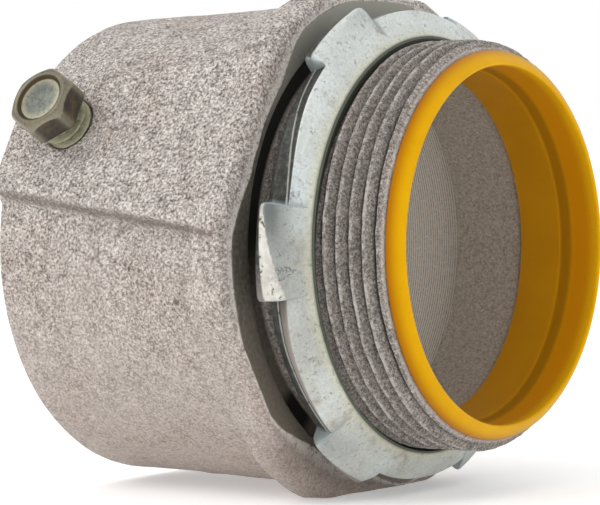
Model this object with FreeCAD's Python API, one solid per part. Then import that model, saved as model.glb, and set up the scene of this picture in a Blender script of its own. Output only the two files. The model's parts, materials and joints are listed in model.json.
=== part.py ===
import FreeCAD, Part
import math
import os

# Set-screw conduit connector, trade size 2.
# The axis runs along +X, out of the threaded nipple; the origin sits on that axis
# at the shoulder face that seats against the enclosure wall; +Z is up.

V = FreeCAD.Vector
ORIGIN = V(0, 0, 0)
AXIS_X = V(1, 0, 0)
EPS = 0.01
BURY = 0.05
OVERRUN = 1.0

# Nipple thread: 11.5 turns per inch, straight, right-handed
PITCH = 25.4 / 11.5
NIPPLE_CREST_R = 29.90
NIPPLE_ROOT_R = 28.15
NIPPLE_LENGTH = 19.8
RIM_CHAMFER = 1.3
RIM_R = 28.3
THREAD_ROOT_HALF = 0.44 * PITCH
THREAD_CREST_HALF = 0.09 * PITCH

# Conduit hub
HUB_END_X = -45.0
HUB_BLANK_END_X = -2.5
HUB_REAR_R = 34.9
HUB_FRONT_R = 35.9
HUB_EDGE_ROUND = 1.0
SOCKET_R = 30.5
SOCKET_MOUTH_CHAMFER = 0.8
STOP_X = -3.6
THROAT_R = 26.3

# Hexagonal wrench flange
FLANGE_REAR_X = -8.4
FLANGE_RAMP_X = -5.8
FLANGE_APOTHEM = 36.5
FLANGE_CORNER_R = 38.9
FLANGE_FRONT_BEVEL = 0.9
FLANGE_FLAT_ANGLE = 90.0
FACE_RELIEF_R = 33.4
FACE_RELIEF_INNER_R = 30.5
FACE_RELIEF_DEPTH = 0.5

# Flat pad that carries the set screw
PAD_ANGLE = 150.0
PAD_BASE_R = 30.0
PAD_TOP_R = 36.4
PAD_FRONT_X = -4.0
PAD_UPPER_FRONT = 11.6
PAD_UPPER_REAR = 7.4
PAD_LOWER_FRONT = 16.2
PAD_LOWER_REAR = 9.8
PAD_REACH_R = 38.8
PAD_EDGE_ROUND = 1.6

# Set screw: 5/16 inch, 18 turns per inch, 3/8 inch hexagon head with a dished top
SCREW_X = -33.6
SCREW_ANGLE = 149.0
SCREW_HOLE_R = 4.04
SCREW_CREST_R = 3.97
SCREW_ROOT_R = 3.25
SCREW_PITCH = 25.4 / 18
SCREW_ROOT_HALF = 0.42 * SCREW_PITCH
SCREW_CREST_HALF = 0.08 * SCREW_PITCH
SCREW_TIP_R = 30.8
SCREW_CUP_R = 2.1
SCREW_CUP_DEPTH = 0.6
SCREW_POINT_LENGTH = 1.0
HEAD_UNDER_R = 39.7
HEAD_TOP_R = 44.2
HEAD_ACROSS_FLATS = 25.4 * 3 / 8
HEAD_CORNER_R = 5.35
HEAD_EDGE = 0.5
HEAD_CROWN = 1.6
HEAD_DISH_R = 3.3
HEAD_DISH_DEPTH = 0.6
HEAD_TURN = 30.0

# Insulating throat liner
LINER_SEAT_X = 8.0
LINER_SEAT_R = 27.05
LINER_OUTER_R = 26.99
LINER_REAR_X = 8.3
LINER_REAR_BORE_R = 25.5
LINER_FRONT_BORE_R = 26.0
LINER_STEP_X = 15.2
LINER_STEP_R = 25.8
LINER_STEP_END_X = 17.1
LINER_LIP_X = 20.1
LINER_LIP_FRONT_X = 21.7
LINER_LIP_OUTER_R = 28.15
LINER_LIP_ROUND = 0.7
LINER_SOFTENING = 0.3

# Locknut: dished steel stamping with a turned-back skirt and six lugs
NUT_FRONT_X = 9.45
NUT_FACE_INNER_R = 30.3
NUT_RIM_R = 34.5
NUT_DISH = 2.75
NUT_SKIRT_X = -5.9
NUT_SKIRT_OUTER_R = 33.4
NUT_SKIRT_INNER_R = 32.0
NUT_BACK_X = -4.2
NUT_BACK_R = 30.6
NUT_HOLLOW_X = -3.8
NUT_HOLLOW_R = 31.2
NUT_THREAD_CREST_R = 28.75
NUT_THREAD_ROOT_R = 30.2
NUT_CREST_HALF = 0.15
NUT_ROOT_HALF = 0.675
NUT_RIDGE_TURNS = 5
LUG_COUNT = 6
LUG_FIRST_ANGLE = 60.0
LUG_FLAT_END = -11.7
LUG_BENT_END = 10.5
LUG_SLICES = 4
# Corners of a lug's section as (x, radius), at its flat end and at its bent end
LUG_FLAT_SECTION = [(-1.3, 32.1), (-4.1, 36.6), (-4.5, 36.7), (-5.5, 35.6), (-4.2, 32.0)]
LUG_BENT_SECTION = [(-1.3, 32.1), (-2.8, 34.6), (-6.2, 35.5), (-6.2, 33.8), (-4.2, 32.0)]


def at_angle(radius, degrees):
    """Y and Z of a point at the given radius, measured from +Y towards +Z."""
    turn = math.radians(degrees)
    return radius * math.cos(turn), radius * math.sin(turn)


def turned(profile):
    """Solid of revolution about the X axis from (x, radius) corners."""
    corners = [V(x, r, 0) for x, r in profile]
    face = Part.Face(Part.makePolygon(corners + corners[:1]))
    return face.revolve(ORIGIN, AXIS_X, 360)


def rod(x_start, x_end, radius):
    """Cylinder on the X axis."""
    return Part.makeCylinder(radius, x_end - x_start, V(x_start, 0, 0), AXIS_X)


def hexagon(x, apothem, first_flat):
    """Closed hexagon across the axis with one flat facing first_flat degrees."""
    half_side = 30
    reach = apothem / math.cos(math.radians(half_side))
    corners = []
    for k in range(6):
        y, z = at_angle(reach, first_flat + half_side * (2 * k + 1))
        corners.append(V(x, y, z))
    return Part.makePolygon(corners + corners[:1])


def hex_prism(x_start, x_end, apothem, first_flat):
    """Hexagonal bar along X."""
    face = Part.Face(hexagon(x_start, apothem, first_flat))
    return face.extrude(V(x_end - x_start, 0, 0))


def screw_ridge(x_start, turns, pitch, root_r, crest_r, root_half, crest_half):
    """Helical ridge of trapezoid section around X, right-handed."""
    helix = Part.makeHelix(pitch, pitch * turns, root_r)
    section = Part.makePolygon([
        V(root_r, 0, -root_half),
        V(crest_r, 0, -crest_half),
        V(crest_r, 0, crest_half),
        V(root_r, 0, root_half),
        V(root_r, 0, -root_half),
    ])
    ridge = Part.Wire(helix.Edges).makePipeShell([section], True, True)
    ridge.rotate(ORIGIN, V(0, 1, 0), 90)
    ridge.translate(V(x_start, 0, 0))
    return ridge


def on_screw_axis(shape):
    """Carry a shape built along X from the origin onto the set-screw axis."""
    y, z = at_angle(1.0, SCREW_ANGLE)
    moved = shape.copy()
    moved.Placement = FreeCAD.Placement(
        V(SCREW_X, 0, 0), FreeCAD.Rotation(AXIS_X, V(0, y, z)))
    return moved


def hub_blank():
    """Tapered barrel with a rounded rear edge; it ends inside the flange."""
    knee = HUB_EDGE_ROUND * 0.3
    return turned([
        (HUB_END_X, 0),
        (HUB_END_X, HUB_REAR_R - HUB_EDGE_ROUND),
        (HUB_END_X + knee, HUB_REAR_R - knee),
        (HUB_END_X + HUB_EDGE_ROUND, HUB_REAR_R),
        (HUB_BLANK_END_X, HUB_FRONT_R),
        (HUB_BLANK_END_X, 0),
    ])


def flange():
    """Wrench hexagon with turned corners, ramped into the barrel."""
    bevel_x = -FLANGE_FRONT_BEVEL
    bar = hex_prism(FLANGE_REAR_X, bevel_x, FLANGE_APOTHEM, FLANGE_FLAT_ANGLE)
    bevel = Part.makeLoft([
        hexagon(bevel_x, FLANGE_APOTHEM, FLANGE_FLAT_ANGLE),
        hexagon(0, FLANGE_APOTHEM - FLANGE_FRONT_BEVEL, FLANGE_FLAT_ANGLE),
    ], True, True)
    limit = turned([
        (FLANGE_REAR_X, 0),
        (FLANGE_REAR_X, HUB_FRONT_R),
        (FLANGE_RAMP_X, FLANGE_CORNER_R),
        (bevel_x, FLANGE_CORNER_R),
        (0, FLANGE_CORNER_R - FLANGE_FRONT_BEVEL),
        (0, 0),
    ])
    return bar.fuse(bevel).common(limit)


def screw_pad():
    """Raised flat, tapering to the rear end, level with one wrench flat."""
    corners = [
        V(HUB_END_X, -PAD_LOWER_REAR, PAD_BASE_R),
        V(PAD_FRONT_X, -PAD_LOWER_FRONT, PAD_BASE_R),
        V(PAD_FRONT_X, PAD_UPPER_FRONT, PAD_BASE_R),
        V(HUB_END_X, PAD_UPPER_REAR, PAD_BASE_R),
    ]
    outline = Part.Face(Part.makePolygon(corners + corners[:1]))
    block = outline.extrude(V(0, 0, PAD_TOP_R - PAD_BASE_R))
    top_edges = [edge for edge in block.Edges
                 if all(abs(v.Z - PAD_TOP_R) < EPS for v in edge.Vertexes)
                 and any(abs(v.X - HUB_END_X) < EPS for v in edge.Vertexes)]
    block = block.makeFillet(PAD_EDGE_ROUND, top_edges)
    block.rotate(ORIGIN, AXIS_X, PAD_ANGLE - 90)
    return block.common(rod(HUB_END_X, PAD_FRONT_X, PAD_REACH_R))


def nipple():
    """Threaded nipple with a lead-in chamfer down to the rim."""
    root_x = -PITCH
    core = rod(root_x, NIPPLE_LENGTH, NIPPLE_ROOT_R)
    ridge = screw_ridge(-PITCH, NIPPLE_LENGTH / PITCH + 2, PITCH,
                        NIPPLE_ROOT_R - BURY, NIPPLE_CREST_R,
                        THREAD_ROOT_HALF, THREAD_CREST_HALF)
    envelope = turned([
        (root_x, 0),
        (root_x, NIPPLE_CREST_R + OVERRUN),
        (NIPPLE_LENGTH - RIM_CHAMFER - EPS, NIPPLE_CREST_R + OVERRUN),
        (NIPPLE_LENGTH - RIM_CHAMFER, NIPPLE_CREST_R + EPS),
        (NIPPLE_LENGTH, RIM_R),
        (NIPPLE_LENGTH, 0),
    ])
    return core.fuse(ridge.common(envelope))


def passage():
    """Everything bored out of the casting along its axis."""
    socket = turned([
        (HUB_END_X - OVERRUN, 0),
        (HUB_END_X - OVERRUN, SOCKET_R + SOCKET_MOUTH_CHAMFER),
        (HUB_END_X, SOCKET_R + SOCKET_MOUTH_CHAMFER),
        (HUB_END_X + SOCKET_MOUTH_CHAMFER, SOCKET_R),
        (STOP_X, SOCKET_R),
        (STOP_X, 0),
    ])
    throat = rod(STOP_X - OVERRUN, LINER_SEAT_X + OVERRUN, THROAT_R)
    seat = rod(LINER_SEAT_X, NIPPLE_LENGTH + OVERRUN, LINER_SEAT_R)
    return socket.fuse([throat, seat])


def face_relief():
    """Shallow annular relief between the nipple and the seating land."""
    outer = rod(-FACE_RELIEF_DEPTH, FACE_RELIEF_DEPTH, FACE_RELIEF_R)
    return outer.cut(rod(-OVERRUN, OVERRUN, FACE_RELIEF_INNER_R))


def casting():
    """Malleable-iron body: hub, wrench flange, pad and nipple in one piece."""
    blank = hub_blank().fuse(screw_pad()).fuse(flange())
    blank = blank.cut(face_relief()).fuse(nipple())
    hole = on_screw_axis(rod(THROAT_R, HEAD_UNDER_R, SCREW_HOLE_R))
    return blank.cut(passage()).cut(hole).removeSplitter()


def throat_liner():
    """Moulded ring with a rounded lip that covers the nipple rim."""
    soft = LINER_SOFTENING
    nose_x = LINER_LIP_FRONT_X - LINER_LIP_ROUND
    nose_r = LINER_LIP_OUTER_R - LINER_LIP_ROUND
    return turned([
        (LINER_REAR_X, LINER_REAR_BORE_R + soft),
        (LINER_REAR_X + soft, LINER_REAR_BORE_R),
        (LINER_STEP_X, LINER_REAR_BORE_R),
        (LINER_STEP_X + soft, LINER_STEP_R),
        (LINER_STEP_END_X, LINER_STEP_R),
        (LINER_STEP_END_X + soft, LINER_FRONT_BORE_R),
        (LINER_LIP_FRONT_X - soft, LINER_FRONT_BORE_R),
        (LINER_LIP_FRONT_X, LINER_FRONT_BORE_R + soft),
        (LINER_LIP_FRONT_X - soft / 2, LINER_FRONT_BORE_R + 2 * soft),
        (nose_x, nose_r),
        (nose_x - soft, LINER_LIP_OUTER_R - soft),
        (LINER_LIP_X + soft, LINER_LIP_OUTER_R),
        (LINER_LIP_X, LINER_LIP_OUTER_R),
        (LINER_LIP_X, LINER_OUTER_R),
        (LINER_REAR_X, LINER_OUTER_R),
    ])


def nut_disc(bore_r):
    """Dished ring with a skirt turned back at its rim, and the given bore."""
    return turned([
        (0, NUT_FACE_INNER_R),
        (-NUT_DISH, NUT_RIM_R),
        (NUT_SKIRT_X, NUT_SKIRT_OUTER_R),
        (NUT_SKIRT_X, NUT_SKIRT_INNER_R),
        (NUT_HOLLOW_X, NUT_HOLLOW_R),
        (NUT_BACK_X, NUT_BACK_R),
        (NUT_BACK_X, bore_r),
        (0, bore_r),
    ])


def lug_slice(angle, share):
    """Closed outline across a lug, the given share of the way to its bent end."""
    turn = angle + LUG_FLAT_END + (LUG_BENT_END - LUG_FLAT_END) * share
    corners = []
    for (flat_x, flat_r), (bent_x, bent_r) in zip(LUG_FLAT_SECTION, LUG_BENT_SECTION):
        y, z = at_angle(flat_r + (bent_r - flat_r) * share, turn)
        corners.append(V(flat_x + (bent_x - flat_x) * share, y, z))
    return Part.makePolygon(corners + corners[:1])


def nut_lug(angle):
    """One twisted lug: flat with the face at one end, folded back at the other."""
    slices = [lug_slice(angle, k / (LUG_SLICES - 1)) for k in range(LUG_SLICES)]
    return Part.makeLoft(slices, True, True)


def locknut():
    """Dished disc with its lugs and a thread that follows the nipple's helix."""
    blank = nut_disc(NUT_THREAD_ROOT_R)
    for k in range(LUG_COUNT):
        blank = blank.fuse(nut_lug(LUG_FIRST_ANGLE + k * 360 / LUG_COUNT))
    blank.translate(V(NUT_FRONT_X, 0, 0))
    ridge = screw_ridge(PITCH / 2, NUT_RIDGE_TURNS, PITCH,
                        NUT_THREAD_ROOT_R + BURY, NUT_THREAD_CREST_R,
                        NUT_ROOT_HALF, NUT_CREST_HALF)
    envelope = nut_disc(NUT_THREAD_CREST_R - OVERRUN)
    envelope.translate(V(NUT_FRONT_X, 0, 0))
    return blank.fuse(ridge.common(envelope)).removeSplitter()


def set_screw():
    """Hexagon-head set screw standing on its radial axis, cup point inward."""
    shank_end = HEAD_UNDER_R + HEAD_EDGE
    point_end = SCREW_TIP_R + SCREW_POINT_LENGTH
    core = turned([
        (SCREW_TIP_R + SCREW_CUP_DEPTH, 0),
        (SCREW_TIP_R, SCREW_CUP_R),
        (point_end, SCREW_ROOT_R),
        (shank_end, SCREW_ROOT_R),
        (shank_end, 0),
    ])
    ridge = screw_ridge(point_end, (HEAD_UNDER_R - point_end) / SCREW_PITCH,
                        SCREW_PITCH, SCREW_ROOT_R - BURY, SCREW_CREST_R,
                        SCREW_ROOT_HALF, SCREW_CREST_HALF)
    head = hex_prism(HEAD_UNDER_R, HEAD_TOP_R, HEAD_ACROSS_FLATS / 2, HEAD_TURN)
    limit = turned([
        (HEAD_UNDER_R, 0),
        (HEAD_UNDER_R, HEAD_CORNER_R - HEAD_EDGE),
        (HEAD_UNDER_R + HEAD_EDGE, HEAD_CORNER_R),
        (HEAD_TOP_R - HEAD_CROWN, HEAD_CORNER_R),
        (HEAD_TOP_R - HEAD_CROWN / 2, HEAD_CORNER_R - HEAD_EDGE),
        (HEAD_TOP_R, HEAD_ACROSS_FLATS / 2 - HEAD_EDGE),
        (HEAD_TOP_R, 0),
    ])
    dish_top = HEAD_TOP_R + HEAD_DISH_DEPTH
    dish = turned([
        (HEAD_TOP_R - HEAD_DISH_DEPTH, 0),
        (HEAD_TOP_R - HEAD_DISH_DEPTH, HEAD_DISH_R),
        (dish_top, HEAD_DISH_R + 2 * HEAD_DISH_DEPTH),
        (dish_top, 0),
    ])
    head = head.common(limit).cut(dish)
    return on_screw_axis(core.fuse([ridge, head]).removeSplitter())


pieces = {
    "casting": casting(),
    "throat_liner": throat_liner(),
    "locknut": locknut(),
    "set_screw": set_screw(),
}
for name, shape in pieces.items():
    shape.exportStep("parts/" + name + ".step")
    print(name, "valid:", shape.isValid(), "solids:", len(shape.Solids),
          "volume:", round(shape.Volume, 1), shape.BoundBox)
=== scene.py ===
import json
import math
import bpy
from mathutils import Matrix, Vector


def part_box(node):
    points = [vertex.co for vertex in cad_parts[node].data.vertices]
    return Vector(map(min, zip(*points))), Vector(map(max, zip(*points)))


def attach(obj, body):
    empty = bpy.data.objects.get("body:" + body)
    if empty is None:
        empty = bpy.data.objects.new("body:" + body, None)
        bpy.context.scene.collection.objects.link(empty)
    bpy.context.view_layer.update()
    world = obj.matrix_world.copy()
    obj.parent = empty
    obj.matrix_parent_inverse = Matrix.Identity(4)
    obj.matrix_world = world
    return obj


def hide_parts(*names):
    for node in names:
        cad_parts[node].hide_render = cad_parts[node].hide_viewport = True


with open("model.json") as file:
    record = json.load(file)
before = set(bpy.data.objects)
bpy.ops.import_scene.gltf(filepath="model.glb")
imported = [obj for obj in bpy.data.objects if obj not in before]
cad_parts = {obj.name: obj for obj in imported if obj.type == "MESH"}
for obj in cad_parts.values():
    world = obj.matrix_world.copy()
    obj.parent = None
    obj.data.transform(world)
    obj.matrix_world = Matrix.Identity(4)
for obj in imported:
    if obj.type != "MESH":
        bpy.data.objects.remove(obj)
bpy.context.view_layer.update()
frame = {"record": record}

from types import SimpleNamespace

import bmesh
import bpy
import numpy as np
from mathutils import Matrix, Vector

MM = 0.001
TAU = 2 * math.pi

# ---------------------------------------------------------------- sizes
# Radii and distances are in millimetres; x runs along the fitting's axis from the
# shoulder face, and angles go from +Y towards +Z. The screw pad is on the -Y side.

RECORD = frame["record"]
JOINTS = {joint["name"]: joint for joint in RECORD["behaviour"]["joints"]}
PITCH = RECORD["behaviour"]["couplings"][0]["ratio"] * TAU / MM
MOUNTS = {mount["name"]: mount for mount in RECORD["mounts"]}

CAST_LOW, CAST_HIGH = (Vector(corner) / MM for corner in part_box("casting"))
LINER_LOW, LINER_HIGH = (Vector(corner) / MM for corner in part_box("throat_liner"))
NUT_FRONT_X = (Vector(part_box("locknut")[1]) / MM).x

CAST_COLUMNS = 540
HUB_END = CAST_LOW.x
NIPPLE_END = CAST_HIGH.x
RIM_CHAMFER = 1.3
RIM_R = 28.25
HUB_REAR_R = 34.9
HUB_FRONT_R = 35.9
REAR_ROUND = 1.1
SOCKET_R = MOUNTS["conduit_socket"]["dims"]["r_mm"]
MOUTH_CHAMFER = 0.8
STOP_X = -3.6
THROAT_R = MOUNTS["throat_bore"]["dims"]["r_mm"]
SEAT_X = 8.0
SEAT_R = 27.05

FLANGE_FOOT_X = -8.1
FLANGE_TOP_X = -5.4
FLANGE_FOOT_ROUND = 0.35
FLANGE_APOTHEM = 36.5
FLANGE_CORNER_R = 38.9
FLANGE_CORNER_ROUND = 0.9
FILLET = 0.25
EDGE_DEPTH = 1.5
LAND_R = 36.5
LAND_DIP = 3.0
LAND_DIP_ANGLES = (149.0, 249.0)
LAND_DIP_REACH = 31.0
LAND_DIP_FADE = 21.0
RELIEF_R = 32.7
RELIEF_DEPTH = 0.5
# Angle of a pocket of painted shadow on the relief floor, beside a lug.
SHADOW_POCKET_ANGLE = 227.0

PAD_ANGLE = math.radians(150.0)
PAD_TOP = 36.4
PAD_FRONT_X = -4.0
PAD_UPPER_REAR = 7.0
PAD_UPPER_FRONT = 11.2
PAD_LOWER_REAR = 8.9
PAD_LOWER_FRONT = 15.6
PAD_WALL = 2.9
PAD_EDGE_ROUND = 0.6
PAD_TURN_LIMIT = 0.9

CREST_R = 29.9
ROOT_R = 28.15
RIDGE_ROOT_HALF = 0.44
RIDGE_CREST_HALF = 0.09
RIDGE_PHASE = 0.37
NUT_ROOT_R = 30.15
NUT_CREST_R = 28.8
NUT_RIDGE_HALF = 0.62
NUT_RIDGE_FLANK = 0.50


# ---------------------------------------------------------------- noise and shaping

def smooth(t):
    """Smoothstep of values clipped to 0..1."""
    t = np.clip(t, 0.0, 1.0)
    return t * t * (3.0 - 2.0 * t)


def mix(a, b, t):
    return a + (b - a) * t


def soft_max(a, b, width):
    """Larger of two surfaces, blended over a small fillet."""
    h = np.clip(0.5 + 0.5 * (a - b) / width, 0.0, 1.0)
    return b + (a - b) * h + width * h * (1.0 - h) * 0.5


def soft_min(a, b, width):
    return -soft_max(-a, -b, width)


HASH_AXES = (374761393, 668265263, 2147483647)
HASH_SEED = 1274126177
HASH_EARLY = 1103515245
HASH_LATE = 2246822519
HASH_MASK = 0xFFFFFFFF
HASH_SPAN = 0xFFFFFF


def corner_values(cell, seed):
    """A fixed random value in -1..1 for each whole-numbered lattice corner."""
    h = sum(cell[..., axis] * factor for axis, factor in enumerate(HASH_AXES))
    h = (h + seed * HASH_SEED) & HASH_MASK
    h = ((h ^ (h >> 13)) * HASH_EARLY) & HASH_MASK
    h = ((h ^ (h >> 16)) * HASH_LATE) & HASH_MASK
    h = h ^ (h >> 15)
    return (h & HASH_SPAN) / float(HASH_SPAN) * 2.0 - 1.0


def lattice(points, size, seed):
    """Smooth random values in -1..1 that change over the given length."""
    q = points / size
    cell = np.floor(q).astype(np.int64)
    f = smooth(q - cell)
    total = np.zeros(points.shape[:-1])
    for corner in range(8):
        step = np.array([corner & 1, (corner >> 1) & 1, (corner >> 2) & 1])
        weight = np.prod(np.where(step, f, 1.0 - f), axis=-1)
        total += corner_values(cell + step, seed) * weight
    return total


def around(x, r, phi):
    """Cartesian millimetre points of axial, radial and angular coordinates."""
    x, r, phi = np.broadcast_arrays(x, r, phi)
    return np.stack([x, r * np.cos(phi), r * np.sin(phi)], axis=-1)


def spaced(start, end, step):
    """Evenly spaced stations, both ends included."""
    return np.linspace(start, end, max(2, int(round(abs(end - start) / step)) + 1))


# ---------------------------------------------------------------- meshes

def torus_mesh(name, points, values=None):
    """Closed quad mesh from points[row, column], both directions wrapping round."""
    rows, columns = points.shape[:2]
    i = np.arange(rows)[:, None]
    j = np.arange(columns)[None, :]
    down = (i + 1) % rows
    across = (j + 1) % columns
    quads = np.stack([i * columns + j, i * columns + across,
                      down * columns + across, down * columns + j], axis=-1)
    return quad_mesh(name, points.reshape(-1, 3), quads.reshape(-1, 4), values)


def quad_mesh(name, points, quads, values=None):
    """Object made of quads, with named per-point values kept as attributes."""
    mesh = bpy.data.meshes.new(name)
    mesh.vertices.add(len(points))
    mesh.vertices.foreach_set("co", (points * MM).astype(np.float32).ravel())
    mesh.loops.add(len(quads) * 4)
    mesh.loops.foreach_set("vertex_index", quads.astype(np.int32).ravel())
    mesh.polygons.add(len(quads))
    mesh.polygons.foreach_set("loop_start", np.arange(0, len(quads) * 4, 4, dtype=np.int32))
    mesh.polygons.foreach_set("loop_total", np.full(len(quads), 4, dtype=np.int32))
    mesh.update(calc_edges=True)
    mesh.validate()
    for key, data in (values or {}).items():
        layer = mesh.attributes.new(key, "FLOAT", "POINT")
        layer.data.foreach_set("value", data.astype(np.float32).ravel())
    piece = bpy.data.objects.new(name, mesh)
    bpy.context.collection.objects.link(piece)
    face_outward(piece)
    mesh.polygons.foreach_set("use_smooth", np.ones(len(mesh.polygons), dtype=bool))
    return piece


class Rings:
    """Rings of points round an axis, each with its marks."""

    def __init__(self, phi, marks):
        self.phi = phi
        self.rows = {key: [] for key in ("along", "r", *marks)}

    def add(self, **values):
        """One ring; a mark that isn't given is nought."""
        for key, row in self.rows.items():
            value = np.asarray(values.get(key, 0.0), float)
            row.append(np.broadcast_to(value, self.phi.shape))

    def grids(self):
        return {key: np.array(row) for key, row in self.rows.items()}


def face_outward(piece):
    """Turn every face so that the closed mesh has its normals outside."""
    bm = bmesh.new()
    bm.from_mesh(piece.data)
    if bm.calc_volume(signed=True) < 0:
        bmesh.ops.reverse_faces(bm, faces=bm.faces[:])
    bm.to_mesh(piece.data)
    bm.free()


# ---------------------------------------------------------------- casting

def cast_noise(points, strength=1.0):
    """Sand-cast unevenness: slow waviness, grain lumps and scattered pits."""
    lumps = 0.11 * lattice(points, 7.0, 11) + 0.075 * lattice(points, 2.3, 12)
    grain = 0.035 * lattice(points, 0.9, 13)
    pits = -0.22 * smooth((lattice(points, 1.1, 14) - 0.62) / 0.35)
    return (lumps + grain + pits) * strength


def hex_radius(phi):
    """Radius of the wrench hexagon with its corners turned down."""
    turn = (phi - math.pi / 2 + math.pi / 6) % (math.pi / 3) - math.pi / 6
    return soft_min(FLANGE_APOTHEM / np.cos(turn), np.full_like(turn, FLANGE_CORNER_R),
                    FLANGE_CORNER_ROUND)


def barrel_radius(x):
    return mix(HUB_REAR_R, HUB_FRONT_R, np.clip((x - HUB_END) / (FLANGE_FOOT_X - HUB_END), 0, 1))


def pad_surface(x, phi, barrel):
    """The raised screw pad: its radius, how far up its side walls, the millimetres
    across it and the millimetres inside its lower edge."""
    turn = np.clip((phi - PAD_ANGLE + math.pi) % TAU - math.pi, -PAD_TURN_LIMIT, PAD_TURN_LIMIT)
    across = PAD_TOP * np.tan(turn)
    share = (x - HUB_END) / (PAD_FRONT_X - HUB_END)
    lower = mix(PAD_LOWER_REAR, PAD_LOWER_FRONT, share) + PAD_WALL - across
    upper = mix(PAD_UPPER_REAR, PAD_UPPER_FRONT, share) + PAD_WALL + across
    wall = smooth(np.minimum(lower, upper) / PAD_WALL)
    top = soft_min(PAD_TOP / np.cos(turn), np.full_like(turn, FLANGE_CORNER_R), PAD_EDGE_ROUND)
    return barrel + np.maximum(top - barrel, 0) * wall, wall, across, lower


def hub_radius(x, phi):
    """Outside of the casting behind the shoulder, and where shade is painted on it: along
    the pad's walls, most on the lower one, and in the flange's rear foot."""
    barrel = barrel_radius(x)
    standing = hex_radius(phi) - barrel
    climb = np.clip((x - FLANGE_FOOT_X) / (FLANGE_TOP_X - FLANGE_FOOT_X), 0, 1)
    flanged = barrel + np.maximum(standing, 0) * mix(climb, smooth(climb), FLANGE_FOOT_ROUND)
    padded, wall, across, lower = pad_surface(x, phi, barrel)
    # Painted shade along the pad's walls and in the flange's rear foot.
    crease = 4.0 * wall * (1.0 - wall)
    crease = np.where(across > 0, 1.1 * crease ** 2, 0.9 * crease ** 3)
    foot = 9.0 * climb * (1.0 - climb) ** 5 * np.clip(standing / 1.5, 0, 1)
    corner = foot * (1.0 - wall) * smooth(1.6 + lower / 6.0)
    return soft_max(flanged, padded, FILLET), np.maximum(crease, corner)


def land_radius(phi):
    """Where the machined face stops; the cast edge runs further in by the pad and below."""
    inward = np.zeros_like(phi)
    for middle in LAND_DIP_ANGLES:
        away = np.abs((np.degrees(phi) - middle + 180.0) % 360.0 - 180.0)
        inward += smooth((LAND_DIP_REACH - away) / LAND_DIP_FADE)
    return LAND_R - LAND_DIP * inward


def thread_radius(x, phi, wear=0.0):
    """Radius over the right-handed nipple thread."""
    turns = x / PITCH - phi / TAU - RIDGE_PHASE
    gap = np.abs(turns - np.round(turns))
    rise = np.clip((RIDGE_ROOT_HALF - gap) / (RIDGE_ROOT_HALF - RIDGE_CREST_HALF), 0, 1)
    return mix(ROOT_R, CREST_R - wear, rise), 1.0 - rise


CAST_MARKS = ("relief", "inside", "machined", "threaded", "groove", "soil", "worn", "turned")


class CastSkin(Rings):
    """The casting's rings, laid one after another."""

    def __init__(self):
        super().__init__(np.arange(CAST_COLUMNS) * TAU / CAST_COLUMNS, CAST_MARKS)

    def lay(self, x, r, cast=1.0, **marks):
        """One ring of points; cast scales the as-cast unevenness there."""
        x, r, _ = np.broadcast_arrays(np.asarray(x, float), np.asarray(r, float), self.phi)
        relief = cast_noise(around(x, r, self.phi), cast) if cast else np.zeros(CAST_COLUMNS)
        self.add(along=x, r=r + relief, relief=relief, **marks)

    def hub(self, x):
        """Radius and painted shade of the hub and flange at one station."""
        return hub_radius(np.full_like(self.phi, x), self.phi)


def rear_face(skin):
    """From the socket's mouth out to the hub, with the rear edge rounded."""
    rear_edge, _ = skin.hub(HUB_END + REAR_ROUND)
    for t in np.linspace(0.0, 1.0, 7):
        skin.lay(HUB_END, mix(SOCKET_R + MOUTH_CHAMFER, rear_edge - REAR_ROUND, t),
                 0.0 if t in (0.0, 1.0) else 0.25, machined=0.25)
    for a in np.radians(np.linspace(15, 90, 6)):
        skin.lay(HUB_END + REAR_ROUND * (1 - math.cos(a)),
                 rear_edge - REAR_ROUND * (1 - math.sin(a)), 0.6)


def hub_and_flange(skin):
    for x in [*spaced(HUB_END + REAR_ROUND + 0.35, FLANGE_FOOT_X - 0.4, 0.48),
              *spaced(FLANGE_FOOT_X, -EDGE_DEPTH - 0.2, 0.27)]:
        # The second value is painted shade for the pad's walls and the flange's foot.
        r, soil = skin.hub(x)
        skin.lay(x, r, soil=soil)


def shoulder(skin):
    """Ragged cast edge, then the machined face and the relief round the nipple's root."""
    phi = skin.phi
    front_edge, _ = skin.hub(-EDGE_DEPTH)
    brink = around(0.0, front_edge, phi)
    ragged = 0.10 * lattice(brink, 1.1, 24) + 0.10 * lattice(brink, 4.0, 26)
    land = np.minimum(land_radius(phi), front_edge - 0.5) + ragged
    # Painted shade darkens the corner where the cast edge meets the machined face.
    for a in np.radians(np.linspace(8, 88, 11)):
        skin.lay(-EDGE_DEPTH * (1 - math.sin(a)), mix(land, front_edge, math.cos(a)),
                 0.8 * math.cos(a), worn=smooth((math.degrees(a) - 62.0) / 20.0),
                 soil=0.25 * math.sin(a))
    skin.lay(0.0, land - 0.03, 0.0, machined=0.9, worn=0.4)
    for t in np.linspace(0.05, 1.0, 10):
        skin.lay(0.0, mix(land - 0.06, RELIEF_R + 0.12, t), 0.0, machined=1.0)
    # A pale ring along the relief's edge: painted highlight.
    skin.lay(-0.04, RELIEF_R + 0.02, 0.0, machined=0.8, worn=0.8)
    # Painted shadow on the relief floor beside the nut, strongest on the upper side and in a pocket
    # by a lug.
    relief_shadow = 0.18 + 0.77 * smooth((np.sin(phi) * RELIEF_R + 6.0) / 9.0)
    pocket = smooth(1.6 - np.abs(np.degrees(phi) - SHADOW_POCKET_ANGLE) / 6.0)
    relief_shadow = np.maximum(relief_shadow, pocket)
    skin.lay(-RELIEF_DEPTH + 0.06, RELIEF_R - 0.1, 0.0, machined=1.0, soil=relief_shadow)
    for t in np.linspace(0.0, 1.0, 6):
        skin.lay(-RELIEF_DEPTH, mix(RELIEF_R - 0.2, CREST_R + 0.4, t), 0.15,
                 machined=1.0, soil=relief_shadow)


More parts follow.
